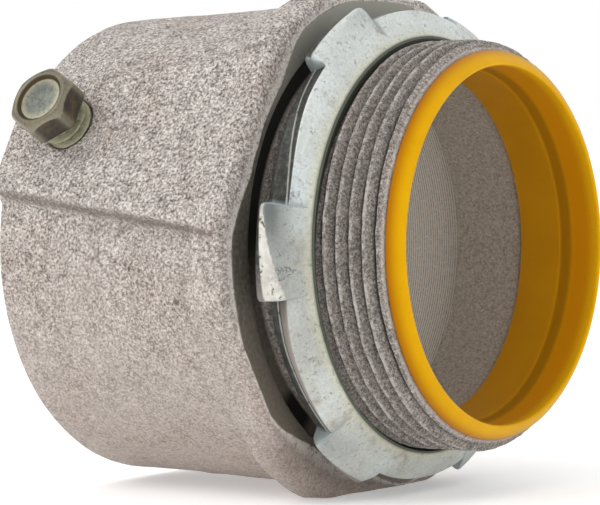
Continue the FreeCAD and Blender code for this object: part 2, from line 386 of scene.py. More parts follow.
def nipple(skin):
    """Threads with crests lowered by wear, a lead-in chamfer and the rim up to the liner's seat."""
    phi = skin.phi
    chamfer_x = NIPPLE_END - RIM_CHAMFER
    for x in spaced(-RELIEF_DEPTH + 0.25, NIPPLE_END - 0.06, 0.125):
        p = around(np.full_like(phi, x), np.full_like(phi, CREST_R), phi)
        late = float(smooth((x - 11.0) / 6.0))
        wear = (0.08 + 0.05 * late) * (1.0 + lattice(p, 2.6, 21)) + 0.10 * lattice(p, 0.9, 22)
        r, groove = thread_radius(x, phi, wear)
        lead = mix(CREST_R - 0.15, RIM_R, max(0.0, (x - chamfer_x) / RIM_CHAMFER))
        cut = np.minimum(r, lead + 0.08 * lattice(p, 1.3, 23))
        flank = np.where(cut < r - 0.02, 0.3, groove)
        skin.lay(x, cut, 0.50 + 0.25 * late, threaded=1.0, groove=flank,
                 worn=0.45 if x > NIPPLE_END - 0.3 else 0.0)
    rim_noise = lattice(around(NIPPLE_END, RIM_R, phi), 1.4, 25)
    for t in np.linspace(0.0, 1.0, 4):
        ledge = NIPPLE_END + (0.05 * rim_noise if 0.0 < t < 0.9 else -0.02)
        skin.lay(ledge, mix(RIM_R - 0.08, SEAT_R + 0.1, t), 0.0, threaded=1.0, worn=0.35)


def bores(skin):
    """Back through the liner's seat, the throat, the conduit's stop and the socket."""
    for x in spaced(NIPPLE_END - 0.25, SEAT_X, 2.0):
        skin.lay(x, SEAT_R, 0.0, inside=1.0)
    skin.lay(SEAT_X, THROAT_R + 0.15, 0.0, inside=1.0)
    for x in spaced(SEAT_X - 0.15, STOP_X + 0.25, 0.5):
        skin.lay(x, THROAT_R + 0.02, 0.9, inside=1.0)
    for a in np.radians(np.linspace(30, 90, 4)):
        skin.lay(STOP_X + 0.15 * (1 - math.sin(a)), THROAT_R + 0.15 * (1 - math.cos(a)), 0.2,
                 inside=1.0)
    # Painted shade on the conduit's stop face and in its corner.
    for t in np.linspace(0.0, 1.0, 6):
        skin.lay(STOP_X, mix(THROAT_R + 0.4, SOCKET_R - 0.25, t), 0.3, inside=1.0, soil=0.9)
    skin.lay(STOP_X - 0.07, SOCKET_R - 0.07, 0.0, inside=1.0, soil=0.8)
    # The socket is painted darker towards the stop on its upper half: painted shade.
    for x in spaced(STOP_X - 0.25, HUB_END + MOUTH_CHAMFER, 0.8):
        stop_shade = 0.6 * float(smooth((x - STOP_X + 4.5) / 4.0))
        skin.lay(x, SOCKET_R, 0.0, inside=1.0, turned=1.0,
                 soil=stop_shade * smooth(np.sin(skin.phi) * 1.5))
    skin.lay(HUB_END + MOUTH_CHAMFER * 0.45, SOCKET_R + MOUTH_CHAMFER * 0.55, 0.0,
             inside=1.0, turned=1.0)


def casting():
    """One closed skin, from the rear face over the outside and back through the bores."""
    skin = CastSkin()
    rear_face(skin)
    hub_and_flange(skin)
    shoulder(skin)
    nipple(skin)
    bores(skin)
    grids = skin.grids()
    points = around(grids.pop("along"), grids.pop("r"), skin.phi[None, :])
    piece = torus_mesh("cast_body", points, grids)
    cut_screw_hole(piece)
    return piece


def cut_screw_hole(piece):
    """Tapped hole with a small countersink, on the screw's axis."""
    outline = np.array([
        (SOCKET_R - 2.0, 0.01), (SOCKET_R - 2.0, SCREW_HOLE_R), (PAD_TOP - 0.35, SCREW_HOLE_R),
        (PAD_TOP + 0.15, SCREW_HOLE_R + 0.42), (PAD_TOP + 2.0, SCREW_HOLE_R + 1.0),
        (PAD_TOP + 2.0, 0.01)])
    h, r = (np.repeat(values[:, None], HOLE_COLUMNS, axis=1) for values in outline.T)
    tool = screw_lathe("hole_tool", h, r)
    cut = piece.modifiers.new("screw_hole", "BOOLEAN")
    cut.operation = "DIFFERENCE"
    cut.solver = "MANIFOLD"
    cut.object = tool
    whole = bpy.context.evaluated_depsgraph_get()
    mesh = bpy.data.meshes.new_from_object(piece.evaluated_get(whole))
    piece.modifiers.clear()
    piece.data = mesh
    bpy.data.objects.remove(tool, do_unlink=True)


# ---------------------------------------------------------------- liner

LINER_COLUMNS = 320
LINER_STEP_FROM_REAR = 6.9
LIP_FULLNESS = 0.4


def liner_profile(rear, step, front):
    """Closed outline as (x, radius): rear edge, bore, recess, flare, lip and outside."""
    return [
        (rear + 0.3, 26.95), (rear, 26.7), (rear, 25.75), (rear + 0.25, 25.52),
        *[(x, 25.52) for x in spaced(rear + 0.6, step, 0.7)],
        (step + 0.12, 25.56), (step + 0.25, 25.72), (step + 0.4, 25.80), (step + 1.0, 25.82),
        (step + 1.7, 25.84), (step + 1.95, 25.92), (step + 2.2, 26.0),
        *[(x, 26.02) for x in spaced(step + 2.6, front - 2.2, 0.5)],
        (front - 1.6, 26.0), (front - 1.1, 25.95), (front - 0.7, 25.9), (front - 0.4, 25.88),
        (front - 0.18, 25.92), (front - 0.04, 26.06), (front, 26.22), (front - 0.04, 26.42),
        (front - 0.16, 26.68), (front - 0.34, 26.98), (front - 0.56, 27.28),
        (front - 0.80, 27.55), (front - 1.05, 27.79), (front - 1.32, 27.97),
        (front - 1.60, 28.09), (front - 1.86, 28.14), (front - 2.06, 28.12),
        (front - 2.16, 28.05), (front - 2.18, 27.9), (front - 2.18, 27.2), (front - 2.3, 26.99),
        *[(x, 26.97) for x in spaced(front - 3.0, rear + 0.9, 1.5)]]


def liner():
    """Moulded throat ring: straight wall, a step, then a flare into the rolled lip."""
    front = LINER_HIGH.x + LIP_FULLNESS
    rear = LINER_LOW.x
    step = rear + LINER_STEP_FROM_REAR
    phi = np.arange(LINER_COLUMNS) * TAU / LINER_COLUMNS
    x, r = (values[:, None] for values in np.array(liner_profile(rear, step, front)).T)
    wobble = lattice(around(x, r, phi[None, :]), 9.0, 31) * 0.02
    points = around(x, r + np.where(r < 26.9, wobble, 0.0), phi[None, :])
    bore = r < 26.4
    # Marks for painted shade: the wall, flare and recess inside, and under the lip by the casting.
    marks = {
        "wall": bore * (1.0 - smooth((x - step - 1.9) / 0.5)),
        "flare": bore * (1.0 - smooth((x - front + 2.4) / 1.9)),
        "recess": bore * smooth((x - step - 0.1) / 0.2) * (1.0 - smooth((x - step - 1.8) / 0.3)),
        "under": (r > 26.3) * smooth((front - 0.10 - x) / 1.9)}
    return torus_mesh("liner_ring", points, {
        key: np.broadcast_to(value, points.shape[:2]).astype(float)
        for key, value in marks.items()})


# ---------------------------------------------------------------- locknut

LUG_COUNT = 6
LUG_FIRST = math.radians(60.0)
LUG_FLAT_END = math.radians(-11.7)
LUG_BENT_END = math.radians(10.5)

# Sections of the stamping as (x from the front edge, radius), from the bore round to the
# back: between lugs, at a lug's flat end and at its bent end. The ROW values are places
# in these lists: where a lug's bend starts and ends, its painted dent shadow, and the start
# of the back. The mark "behind" is the distance past the skirt's fold, or ON_LUG away from any
# fold.
PLAIN_SECTION = [
    (0.0, 30.35), (-0.12, 30.6), (-0.6, 31.2), (-1.2, 32.1), (-1.8, 33.05), (-2.25, 33.75),
    (-2.55, 34.2), (-2.78, 34.44), (-3.05, 34.5), (-3.4, 34.42), (-4.2, 34.12), (-5.0, 33.8),
    (-5.6, 33.55), (-5.82, 33.35), (-5.9, 33.0), (-5.86, 32.4), (-5.6, 32.05), (-5.0, 31.9),
    (-4.3, 31.6), (-3.95, 31.2), (-4.0, 30.9)]
FLAT_SECTION = [
    (0.0, 30.35), (-0.12, 30.6), (-0.7, 31.4), (-1.5, 32.6), (-2.3, 33.8), (-3.1, 35.0),
    (-3.75, 36.0), (-4.05, 36.42), (-4.25, 36.62), (-4.45, 36.68), (-4.75, 36.6), (-5.2, 36.2),
    (-5.5, 35.85), (-5.62, 35.6), (-5.6, 35.3), (-5.5, 35.0), (-5.3, 34.3), (-5.0, 33.2),
    (-4.5, 32.3), (-4.0, 31.4), (-4.0, 30.9)]
BENT_SECTION = [
    (0.0, 30.35), (-0.12, 30.6), (-0.6, 31.2), (-1.2, 32.15), (-1.8, 33.1), (-2.3, 33.95),
    (-2.6, 34.4), (-2.9, 34.75), (-3.3, 35.10), (-3.9, 35.45), (-4.6, 35.80), (-5.25, 36.12),
    (-5.7, 36.25), (-6.02, 36.0), (-6.2, 35.4), (-6.15, 34.5), (-5.8, 33.7), (-5.2, 33.2),
    (-4.5, 32.4), (-4.0, 31.3), (-4.0, 30.9)]

KNEE_ROW = 8
HEEL_ROW = 10.6
DENT_ROW = 6.4
BACK_ROW = 15
FINE_ROWS = 3
ON_LUG = 6.0
LUG_COLUMNS = 26
GAP_COLUMNS = 22
LUG_CORNER_ANGLE = 0.03
LUG_CORNER_OUT = 0.72
CUT_END_STEPS = np.array([-0.003, 0.0, 0.003, 0.008, 0.016, 0.028])
CUT_END_OUTSIDE = 0.012
CUT_END_INSIDE = 0.045
CUT_END_HALF = 0.0035
RUBBED_LUG = 180.0
FAINT_RUB = 0.15
FOLD_X_AFTER_LUG = -4.9
FOLD_X_BEFORE_LUG = -3.25
KNOCK_ANGLE = 172.0
KNOCK_DEPTH = 1.8
KNOCK_REACH = 34.0
KNOCK_FADE = 28.0
NUT_MARKS = ("burnish", "skirt", "behind", "cut", "dent")


def nut_thread_radius(x, phi):
    """Bore of the nut: a crest half a pitch away from the nipple's."""
    turns = x / PITCH - phi / TAU - RIDGE_PHASE - 0.5
    gap = np.abs(turns - np.round(turns)) * PITCH
    return mix(NUT_ROOT_R, NUT_CREST_R, np.clip((NUT_RIDGE_HALF - gap) / NUT_RIDGE_FLANK, 0, 1))


def resampled(section):
    """X and radius along a section, with finer steps between its corners."""
    x, r = np.array(section).T
    corners = np.arange(len(x))
    fine = np.linspace(0, len(x) - 1, FINE_ROWS * (len(x) - 1) + 1)
    return np.interp(fine, corners, x), np.interp(fine, corners, r)


def lug_columns():
    """Angles round the nut with, for each: share along its lug, lug or not, how square
    the lug stands there, share along the gap between lugs, and whether it is a cut end."""
    step = TAU / LUG_COUNT
    low, high = LUG_FLAT_END, LUG_BENT_END
    base = np.concatenate([
        np.linspace(-step / 2, low - CUT_END_OUTSIDE, GAP_COLUMNS, endpoint=False),
        low + CUT_END_STEPS,
        np.linspace(low + CUT_END_INSIDE, high - CUT_END_INSIDE, LUG_COLUMNS),
        high - CUT_END_STEPS[::-1],
        np.linspace(high + CUT_END_OUTSIDE, step / 2, GAP_COLUMNS, endpoint=False)])
    inside = np.minimum(base - low, high - base)
    rounding = 1 - np.clip(inside / LUG_CORNER_ANGLE, 0, 1)
    values = {
        "share": np.clip((base - low) / (high - low), 0, 1),
        "lug": (inside > -0.001).astype(float),
        "corner": np.sqrt(np.clip(1 - rounding ** 2, 0, 1)),
        "gap": ((base - high) % step) / (step - high + low),
        "cut_end": (np.abs(inside) < CUT_END_HALF).astype(float)}
    phi = np.concatenate([base + LUG_FIRST + k * step for k in range(LUG_COUNT)]) % TAU
    order = np.argsort(phi)
    return SimpleNamespace(phi=phi[order], **{key: np.tile(value, LUG_COUNT)[order]
                                              for key, value in values.items()})


def stamping_rings(rings, at):
    """From the bore's front edge over the face, the lugs' bend and the skirt to the back."""
    plain, flat, bent = (resampled(section)
                         for section in (PLAIN_SECTION, FLAT_SECTION, BENT_SECTION))
    fold_x = mix(FOLD_X_AFTER_LUG, FOLD_X_BEFORE_LUG, at.gap)
    knock = np.abs(np.degrees(at.phi) - KNOCK_ANGLE)
    knocked = KNOCK_DEPTH * smooth((KNOCK_REACH - knock) / KNOCK_FADE) * (1 - at.lug)
    away = np.abs(np.degrees(at.phi) - RUBBED_LUG)
    # The lug at RUBBED_LUG gets the full burnish and painted dent shadow, the others a faint one.
    rubbed = np.where(away < 180.0 / LUG_COUNT, 1.0, FAINT_RUB)
    out = at.lug * mix(LUG_CORNER_OUT, 1.0, at.corner)
    for row, (px, pr, fx, fr, bx, br) in enumerate(zip(*plain, *flat, *bent)):
        listed = row / FINE_ROWS
        near_rim = min(1.0, max(0.0, (pr - 31.0) / 3.0))
        pr = pr - knocked * near_rim * smooth((px - fold_x + 1.4) / 1.2)
        lug_x = mix(fx, bx, at.share)
        lug_r = mix(fr, br, at.share)
        first_row = mix(KNEE_ROW + 0.8, KNEE_ROW - 2.6, at.share)
        on_knee = (listed >= first_row) * (listed <= HEEL_ROW)
        near_dent = max(0.0, 1.0 - max(abs(listed - DENT_ROW) - 0.8, 0.0) / 2.4)
        rings.add(
            along=mix(px, lug_x, out), r=mix(pr, lug_r, out),
            burnish=at.lug * rubbed * smooth(at.share * 5.0 + 0.1) * on_knee,
            skirt=(1 - at.lug) * (listed >= KNEE_ROW - 0.4) + at.lug * (listed > HEEL_ROW),
            behind=np.where(at.lug > 0, ON_LUG, px - fold_x) if listed < BACK_ROW else -ON_LUG,
            cut=at.cut_end * smooth((np.hypot(lug_x - px, lug_r - pr) - 0.3) / 0.4),
            dent=at.lug * (0.2 + 0.8 * rubbed) * (0.25 + 0.75 * smooth(1.2 - at.share * 2.0))
            * near_dent)


def bore_rings(rings):
    """Threaded bore, from the back to the front."""
    for depth in spaced(-4.15, 0.12, 0.14):
        ends = 1.0 - smooth((depth + 4.25) / 0.35) + smooth((depth + 0.25) / 0.4)
        thread = nut_thread_radius(NUT_FRONT_X + depth, rings.phi)
        rings.add(along=depth, r=mix(thread, 30.2, np.clip(ends, 0, 1)), behind=-ON_LUG,
                  skirt=float(depth < -0.35))


def locknut():
    """Stamped nut: dished face, skirt turned back, six twisted lugs with cut ends."""
    columns = lug_columns()
    rings = Rings(columns.phi, NUT_MARKS)
    stamping_rings(rings, columns)
    bore_rings(rings)
    marks = rings.grids()
    x = marks.pop("along") + NUT_FRONT_X
    r = marks.pop("r")
    p = around(x, r, rings.phi[None, :])
    uneven = (0.06 * lattice(p, 6.0, 41) + 0.025 * lattice(p, 1.6, 42)) * (r > 30.4)
    near_fold = (np.abs(marks["behind"]) < 2.6) * (r > 32.6)
    fold = 0.10 * smooth(marks["behind"] / 0.25 + 0.5) * near_fold
    points = around(x + uneven, r + uneven * 0.6 - fold, rings.phi[None, :])
    front = x > NUT_FRONT_X - 1.2
    marks["bore_edge"] = smooth((30.72 - r) / 0.3) * front
    marks["bore_tint"] = smooth((32.2 - r) / 1.8) * front
    return torus_mesh("nut_stamping", points, marks)


# ---------------------------------------------------------------- set screw

SCREW_AXIS = Vector(JOINTS["screw_travel"]["axis"])
SCREW_X = -33.6
SCREW_HOLE_R = 4.04
SCREW_CREST_R = 3.97
SCREW_ROOT_R = 3.3
SCREW_TIP = 30.8
SCREW_PITCH = 25.4 / 18
HEAD_UNDER = 39.7
HEAD_TOP = 44.2
HEAD_APOTHEM = 25.4 * 3 / 16
HEAD_CORNER = 5.38
HEAD_TURN = math.radians(1.0)
HEAD_RIM_R = 4.25
HEAD_CORNER_ROUND = 0.15
SCREW_RIDGE_HALF = 0.42
SCREW_RIDGE_FLANK = 0.34
SCREW_COLUMNS = 144
HOLE_COLUMNS = 72
SCREW_MARKS = ("disc", "rubbed", "shank", "seam")
# Radii of the dish's inner wall, painted dark as shade.
DISH_SHADE_INNER_R = 3.35
DISH_SHADE_OUTER_R = 3.8

# Cup point as (height over the tip, radius).
TIP_ROWS = ((0.5, 0.05), (0.45, 0.8), (0.2, 1.6), (0.0, 2.0), (0.06, 2.25))

# Rolled rim and dished disc as (depth under the top, radius, disc or not, rub and painted
# highlight).
DISH_ROWS = ((0.02, 4.1, 0, 0.3), (0.08, 3.92, 0, 0.5), (0.22, 3.72, 0, 0.0),
             (0.42, 3.52, 0, 0.0), (0.56, 3.42, 0, 0.0), (0.62, 3.32, 0.6, 0.5),
             (0.60, 3.18, 1, 0.9), (0.57, 2.85, 1, 0.55), (0.53, 2.3, 1, 0.05),
             (0.50, 1.3, 1, 0), (0.49, 0.5, 1, 0), (0.49, 0.05, 1, 0))


def screw_lathe(name, h, r, values=None):
    """Closed body round the screw axis, from heights and radii by ring and column."""
    rows, columns = r.shape
    theta = np.arange(columns) * TAU / columns
    side = Vector((1, 0, 0))
    up = SCREW_AXIS.cross(side)
    points = (h[..., None] * np.array(SCREW_AXIS) + (r * np.cos(theta))[..., None] * np.array(side)
              + (r * np.sin(theta))[..., None] * np.array(up))
    points[..., 0] += SCREW_X
    i = np.arange(rows - 1)[:, None]
    j = np.arange(columns)[None, :]
    across = (j + 1) % columns
    quads = np.stack([i * columns + j, i * columns + across,
                      (i + 1) * columns + across, (i + 1) * columns + j], axis=-1)
    piece = quad_mesh(name, points.reshape(-1, 3), quads.reshape(-1, 4), values)
    bm = bmesh.new()
    bm.from_mesh(piece.data)
    bmesh.ops.holes_fill(bm, edges=[edge for edge in bm.edges if edge.is_boundary])
    bm.to_mesh(piece.data)
    bm.free()
    face_outward(piece)
    return piece


def screw_shank(rings):
    """Cup point and thread, up to the head."""
    for h, r in TIP_ROWS:
        rings.add(along=SCREW_TIP + h, r=r, shank=1.0)
    for h in spaced(SCREW_TIP + 0.35, HEAD_UNDER - 0.1, 0.12):
        turns = (h - SCREW_TIP) / SCREW_PITCH - rings.phi / TAU
        gap = np.abs(turns - np.round(turns))
        rise = np.clip((SCREW_RIDGE_HALF - gap) / SCREW_RIDGE_FLANK, 0, 1)
        point = mix(0.70, 1.0, smooth((h - SCREW_TIP) / 1.1))
        rings.add(along=h, r=mix(SCREW_ROOT_R, SCREW_CREST_R, rise) * point,
                  shank=mix(0.55, 1.0, rise))
    rings.add(along=HEAD_UNDER, r=SCREW_CREST_R - 0.05, shank=0.8)


def screw_head(rings):
    """Hexagon with crowned corners, a rolled rim and a dished disc."""
    turn = (rings.phi - HEAD_TURN + math.pi / 6) % (math.pi / 3) - math.pi / 6
    flats = soft_min(HEAD_APOTHEM / np.cos(turn), np.full_like(turn, HEAD_CORNER),
                     HEAD_CORNER_ROUND)
    crown = HEAD_TOP - 0.75 - np.maximum(flats - HEAD_APOTHEM, 0) * 1.1
    corner = np.clip((flats - HEAD_APOTHEM) / 0.5, 0, 1)
    rings.add(along=HEAD_UNDER + 0.02, r=flats * 0.90, shank=0.4)
    rings.add(along=HEAD_UNDER + 0.22, r=flats * 0.975, rubbed=0.3)
    for t in np.linspace(0.0, 1.0, 9):
        # Lighter hexagon corners: painted highlight with some rub.
        rings.add(along=mix(HEAD_UNDER + 0.5, crown, t), r=flats, rubbed=0.55 * corner ** 3)
    for a in np.radians(np.linspace(15, 90, 6)):
        rings.add(along=mix(crown, HEAD_TOP, math.sin(a)),
                  r=mix(flats, HEAD_RIM_R, (1 - math.cos(a)) ** 0.9),
                  rubbed=mix(0.8, 0.25, math.sin(a)))
    # Pale rings on the rim and at the disc's edge: painted highlight with some rub.
    for depth, r, disc, rubbed in DISH_ROWS:
        rings.add(along=HEAD_TOP - depth, r=r, disc=disc, rubbed=rubbed,
                  seam=float(DISH_SHADE_INNER_R < r < DISH_SHADE_OUTER_R))


def set_screw():
    """Cup point, threaded shank and hexagon head."""
    rings = Rings(np.arange(SCREW_COLUMNS) * TAU / SCREW_COLUMNS, SCREW_MARKS)
    screw_shank(rings)
    screw_head(rings)
    grids = rings.grids()
    return screw_lathe("screw_hex", grids.pop("along"), grids.pop("r"), grids)


# ---------------------------------------------------------------- materials

TOOL_MARK = 0.42
FLOOR_GLOW = 0.30


class Paint:
    """Shorthand for one procedural material built round a Principled shader."""

    def __init__(self, name, metallic=0.0, specular=0.5):
        self.material = bpy.data.materials.new(name)
        self.material.use_nodes = True
        self.tree = self.material.node_tree
        self.shader = self.tree.nodes["Principled BSDF"]
        self.shader.inputs["Metallic"].default_value = metallic
        self.shader.inputs["Specular IOR Level"].default_value = specular
        self.place = self.node("ShaderNodeTexCoord").outputs["Object"]

    def node(self, kind, **settings):
        made = self.tree.nodes.new(kind)
        for key, value in settings.items():
            setattr(made, key, value)
        return made

    def feed(self, socket, value):
        """Link a socket, or set it when the value is a plain number or colour."""
        if isinstance(value, bpy.types.NodeSocket):
            self.tree.links.new(value, socket)
        elif isinstance(value, tuple):
            socket.default_value = (*value, 1.0) if len(value) == 3 else value
        else:
            socket.default_value = value

    def noise(self, size_mm, detail=3.0, rough=0.6, warp=0.0):
        """Noise whose blobs are about the given size."""
        made = self.node("ShaderNodeTexNoise")
        self.feed(made.inputs["Vector"], self.place)
        made.inputs["Scale"].default_value = 1000.0 / size_mm
        made.inputs["Detail"].default_value = detail
        made.inputs["Roughness"].default_value = rough
        made.inputs["Distortion"].default_value = warp
        return made.outputs["Fac"]

    def attribute(self, name):
        return self.node("ShaderNodeAttribute", attribute_name=name).outputs["Fac"]

    def axis(self, name):
        split = self.node("ShaderNodeSeparateXYZ")
        self.feed(split.inputs["Vector"], self.place)
        return split.outputs[name]

    def step(self, value, low, high):
        """Rises 0 to 1 while the value goes from low to high (either order)."""
        made = self.node("ShaderNodeMapRange", interpolation_type="SMOOTHSTEP")
        self.feed(made.inputs["Value"], value)
        if low < high:
            made.inputs["From Min"].default_value = low
            made.inputs["From Max"].default_value = high
        else:
            made.inputs["From Min"].default_value = high
            made.inputs["From Max"].default_value = low
            made.inputs["To Min"].default_value = 1.0
            made.inputs["To Max"].default_value = 0.0
        return made.outputs["Result"]

    def math(self, operation, a, b=0.0):
        made = self.node("ShaderNodeMath", operation=operation)
        self.feed(made.inputs[0], a)
        self.feed(made.inputs[1], b)
        return made.outputs["Value"]

    def times(self, a, b):
        return self.math("MULTIPLY", a, b)

    def plus(self, a, b):
        return self.math("ADD", a, b)

    def vein(self, noise, wide, narrow):
        """Thin lines where a noise crosses its middle."""
        return self.step(self.math("ABSOLUTE", self.math("SUBTRACT", noise, 0.5)), wide, narrow)

    def tint(self, base, mask, strength, colour, mode="MIX"):
        """Base with a colour laid over it where the mask is, at the given strength."""
        return self.blend(self.times(mask, strength), base, colour, mode)

    def blend(self, amount, a, b, mode="MIX"):
        made = self.node("ShaderNodeMix", data_type="RGBA", blend_type=mode)
        self.feed(made.inputs["Factor"], amount)
        self.feed(made.inputs["A"], a)
        self.feed(made.inputs["B"], b)
        return made.outputs["Result"]

    def ramp(self, value, *stops):
        """Colour ramp from (position, colour) stops."""
        made = self.node("ShaderNodeValToRGB")
        self.feed(made.inputs["Fac"], value)
        elements = made.color_ramp.elements
        while len(elements) < len(stops):
            elements.new(0.5)
        for element, (position, colour) in zip(elements, stops):
            element.position = position
            element.color = (*colour, 1.0)
        return made.outputs["Color"]

    def bump(self, height, depth_mm, below=None):
        made = self.node("ShaderNodeBump")
        made.inputs["Distance"].default_value = depth_mm * MM
        self.feed(made.inputs["Height"], height)
        if below is not None:
            self.feed(made.inputs["Normal"], below)
        return made.outputs["Normal"]

    def finish(self, colour, rough, normal=None, metal=None):
        self.feed(self.shader.inputs["Base Color"], colour)
        self.feed(self.shader.inputs["Roughness"], rough)
        if normal is not None:
            self.feed(self.shader.inputs["Normal"], normal)
        if metal is not None:
            self.feed(self.shader.inputs["Metallic"], metal)
        return self.material


def cast_noises(p):
    """The noises that the cast surface's colours and bumps share."""
    sand = p.noise(0.42, detail=4.0, rough=0.9)
    clumps = p.noise(2.2, detail=4.0, rough=0.8)
    return SimpleNamespace(
        grain=p.noise(0.42, detail=5.0, rough=0.8, warp=0.4),
        pepper=p.noise(1.1, detail=5.0, rough=0.85, warp=0.8),
        mottle=p.noise(3.4, detail=4.0, rough=0.7),
        crust=p.plus(p.times(sand, 0.84), p.times(clumps, 0.16)),
        blotch=p.noise(14.0, detail=3.0))


def cast_outside(p, noise):
    """As-cast skin, softer and painted a little lighter low down and sharper by the pad, its dark
    specks, and painted shade low on the flange's front.
    """
    coarse = p.step(p.plus(p.axis("Z"), p.times(noise.blotch, 0.03)), -0.02, 0.03)
    # The lower skin is painted a little lighter: painted light evening out the shade low on the
    # hub.
    soft = p.ramp(noise.crust, (0.34, (0.24, 0.20, 0.175)), (0.50, (0.50, 0.43, 0.385)),
                  (0.66, (0.72, 0.645, 0.595)))
    sharp = p.ramp(noise.crust, (0.40, (0.045, 0.038, 0.033)), (0.46, (0.30, 0.262, 0.240)),
                   (0.52, (0.54, 0.487, 0.450)), (0.58, (0.88, 0.82, 0.77)))
    skin = p.blend(coarse, soft, sharp)
    skin = p.tint(skin, p.step(noise.mottle, 0.48, 0.30), 0.35, (0.62, 0.57, 0.54), "MULTIPLY")
    speck = p.times(p.step(noise.pepper, 0.39, 0.30), p.plus(0.35, p.times(coarse, 0.45)))
    skin = p.blend(speck, skin, (0.09, 0.072, 0.06))
    skin = p.tint(skin, p.step(noise.blotch, 0.45, 0.75), 0.35, (0.80, 0.68, 0.60), "MULTIPLY")
    wander = p.noise(9.0, detail=6.0, rough=0.72)
    crease = p.times(p.vein(wander, 0.010, 0.002), p.step(noise.mottle, 0.50, 0.60))
    skin = p.tint(skin, crease, 0.65, (0.13, 0.108, 0.092))
    # Painted shade low on the front of the flange.
    under_flange = p.times(p.step(p.axis("X"), -0.006, -0.001), p.step(p.axis("Z"), -0.022, -0.031))
    skin = p.tint(skin, under_flange, 0.70, (0.58, 0.53, 0.50), "MULTIPLY")
    return skin, speck


def cast_bores(p, noise, skin, speck):
    """Grainy brown throat painted darker than the outside as shade, and the paler socket with its
    turned rings.
    """
    wall = p.ramp(noise.grain, (0.30, (0.15, 0.124, 0.10)), (0.50, (0.37, 0.32, 0.27)),
                  (0.70, (0.56, 0.50, 0.435)))
    skin = p.blend(p.attribute("inside"), skin, p.blend(speck, wall, (0.07, 0.057, 0.047)))
    ripple = p.math("SINE", p.times(p.axis("X"), TAU / (TOOL_MARK * MM)))
    cuts = p.times(p.step(ripple, 0.5, -0.7), p.step(noise.grain, 0.75, 0.35))
    lathe = p.tint((0.74, 0.69, 0.62), cuts, 0.8, (0.20, 0.175, 0.15))
    return p.blend(p.attribute("turned"), skin, lathe)


def cast_threads(p, noise, skin):
    """Filed grey flanks, crests lightened by a painted highlight, and roots painted near-black as
    shade.
    """
    filed = p.ramp(noise.crust, (0.38, (0.07, 0.062, 0.054)), (0.50, (0.27, 0.24, 0.215)),
                   (0.62, (0.62, 0.565, 0.515)))
    threaded = p.attribute("threaded")
    groove = p.attribute("groove")
    skin = p.blend(threaded, skin, filed)
    # Painted highlight along the crests.
    crest = p.times(p.step(groove, 0.16, 0.03), threaded)
    skin = p.tint(skin, p.times(crest, p.step(noise.pepper, 0.40, 0.52)), 0.6, (0.60, 0.56, 0.51))
    # Painted shade: the roots go near-black.
    return p.blend(p.step(groove, 0.72, 1.0), skin, (0.030, 0.025, 0.021))


def cast_painted_shade(p, noise, skin):
    """Painted shade in the corners, and darker painted shade in the bottoms of the casting's pits.
    """
    soil = p.times(p.attribute("soil"), p.step(noise.grain, 0.80, 0.40))
    skin = p.blend(soil, skin, (0.20, 0.165, 0.14))
    # Painted shade in the bottoms of the pits.
    return p.tint(skin, p.step(p.attribute("relief"), -0.15, -0.27), 0.75, (0.10, 0.083, 0.07))


def cast_machined(p, noise, skin, machined):
    """Dull machined face, greenish above from a painted reflection and brown below, near-black
    painted shadow in the relief, and pale edges that are partly wear and partly painted highlight.
    """
    dull = p.ramp(p.noise(0.7, detail=4.0, rough=0.7), (0.30, (0.075, 0.068, 0.055)),
                  (0.60, (0.17, 0.155, 0.128)), (0.80, (0.27, 0.25, 0.215)))
    # Painted reflection: the top of the face paler and greener.
    lofty = p.step(p.plus(p.axis("Z"), p.times(noise.blotch, 0.01)), 0.018, 0.036)
    dull = p.tint(dull, lofty, 0.8, (0.36, 0.36, 0.31))
    dull = p.tint(dull, p.step(p.axis("Z"), -0.002, -0.022), 0.45, (0.26, 0.215, 0.165))
    # Painted shadow: the relief beside the nut goes near-black.
    dull = p.blend(p.attribute("soil"), dull, (0.014, 0.012, 0.010))
    skin = p.blend(machined, skin, dull)
    edge = p.times(p.attribute("worn"), p.step(noise.pepper, 0.38, 0.50))
    return p.tint(skin, edge, 0.8, (0.78, 0.73, 0.66))


def cast_material():
    """Grainy zinc-washed iron, smooth where machined, with painted shade making it dark in the
    threads and pits.
    """
    p = Paint("cast_iron_zinc_wash", specular=0.3)
    noise = cast_noises(p)
    machined = p.attribute("machined")
    skin, speck = cast_outside(p, noise)
    skin = cast_bores(p, noise, skin, speck)
    skin = cast_threads(p, noise, skin)
    skin = cast_painted_shade(p, noise, skin)
    skin = cast_machined(p, noise, skin, machined)
    rough = p.math("SUBTRACT", 0.80, p.times(machined, 0.28))
    height = p.plus(noise.grain, p.times(noise.pepper, 0.6))
    height = p.times(height, p.math("SUBTRACT", 1.0, p.times(machined, 0.8)))
    return p.finish(skin, rough, p.bump(height, 0.30), p.times(machined, 0.35))


def liner_material():
    """Glossy yellow moulding: lit lip, with painted shade making the flare orange and the wall and
    step a deeper gold, and painted shadow where the lip meets the casting.
    """
    p = Paint("yellow_moulding", specular=0.16)
    p.shader.inputs["Specular Tint"].default_value = (1.0, 0.75, 0.20, 1.0)
    cloud = p.noise(9.0, detail=3.0)
    fine = p.noise(0.5, detail=3.0, rough=0.7)
    colour = p.ramp(cloud, (0.3, (0.62, 0.315, 0.001)), (0.7, (0.69, 0.365, 0.002)))
    # Painted shadow under the lip, then painted shade on the flare, wall and recess.
    colour = p.blend(p.attribute("under"), colour, (0.34, 0.115, 0.001))
    colour = p.blend(p.attribute("flare"), colour, (0.50, 0.195, 0.001))
    gold = p.ramp(cloud, (0.3, (0.38, 0.165, 0.002)), (0.7, (0.44, 0.20, 0.003)))
    colour = p.blend(p.attribute("wall"), colour, gold)
    colour = p.blend(p.attribute("recess"), colour, (0.29, 0.125, 0.002))
    colour = p.tint(colour, p.step(fine, 0.34, 0.26), 0.6, (0.30, 0.13, 0.004))
    rough = p.plus(0.34, p.times(fine, 0.18))
    return p.finish(colour, rough, p.bump(p.plus(fine, cloud), 0.05))


